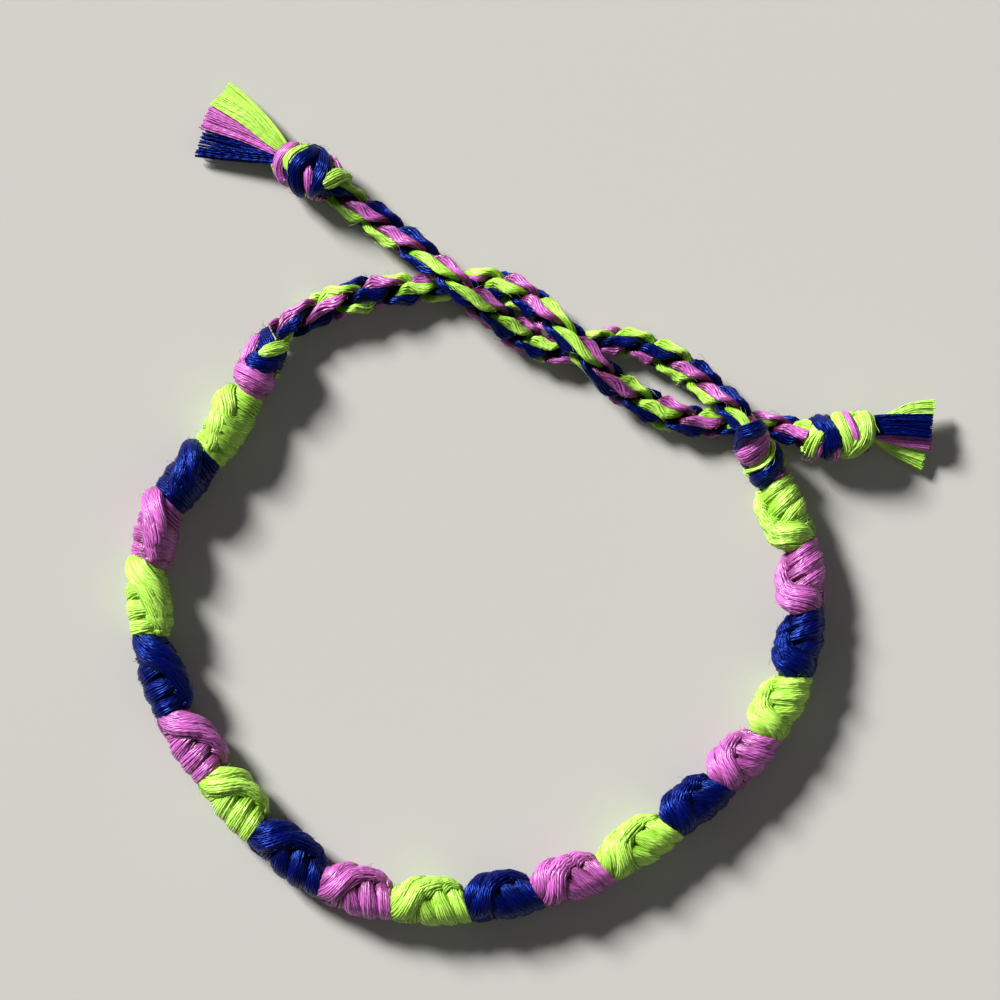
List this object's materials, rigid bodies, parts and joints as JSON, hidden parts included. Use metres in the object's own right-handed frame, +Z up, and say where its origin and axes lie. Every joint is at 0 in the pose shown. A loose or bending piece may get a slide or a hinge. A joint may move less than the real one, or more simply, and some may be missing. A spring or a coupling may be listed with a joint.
{
  "type": "friendship bracelet",
  "caption": "Knotted floss friendship bracelet: a round band of lime, blue and pink half-hitch runs with a knot, a twisted tie, an end knot and a cut tassel on each side",
  "frame": {"origin": "Under the middle of the whole bracelet, on the surface where it lies.", "axes": "+Z is up from the surface, through the loop. +Y runs from the middle of the band towards the crossed ties. +X runs towards the band's right end."},
  "size_m": [0.0808, 0.0844, 0.0059],
  "materials": {
    "lime_floss": "lime green cotton embroidery floss, soft sheen",
    "pink_floss": "orchid pink cotton embroidery floss, soft sheen",
    "blue_floss": "royal blue cotton embroidery floss, soft sheen",
    "mixed_floss": "lime, blue and pink cotton embroidery floss side by side"
  },
  "bodies": {
    "root": {"run_01_lime": "lime_floss", "run_02_blue": "blue_floss", "run_03_pink": "pink_floss", "run_04_lime": "lime_floss", "run_05_blue": "blue_floss", "run_06_pink": "pink_floss", "run_07_lime": "lime_floss", "run_08_blue": "blue_floss", "run_09_pink": "pink_floss", "run_10_lime": "lime_floss", "run_11_blue": "blue_floss", "run_12_pink": "pink_floss", "run_13_lime": "lime_floss", "run_14_blue": "blue_floss", "run_15_pink": "pink_floss", "run_16_lime": "lime_floss", "run_17_blue": "blue_floss", "run_18_pink": "pink_floss", "run_19_lime": "lime_floss", "left_band_knot": "mixed_floss", "right_band_knot": "mixed_floss", "left_tie_ply_a": "mixed_floss", "left_tie_ply_b": "mixed_floss", "right_tie_ply_a": "mixed_floss", "right_tie_ply_b": "mixed_floss", "left_tie_end_knot": "mixed_floss", "right_tie_end_knot": "mixed_floss", "left_tie_tassel": "mixed_floss", "right_tie_tassel": "mixed_floss"}
  },
  "joints": []
}
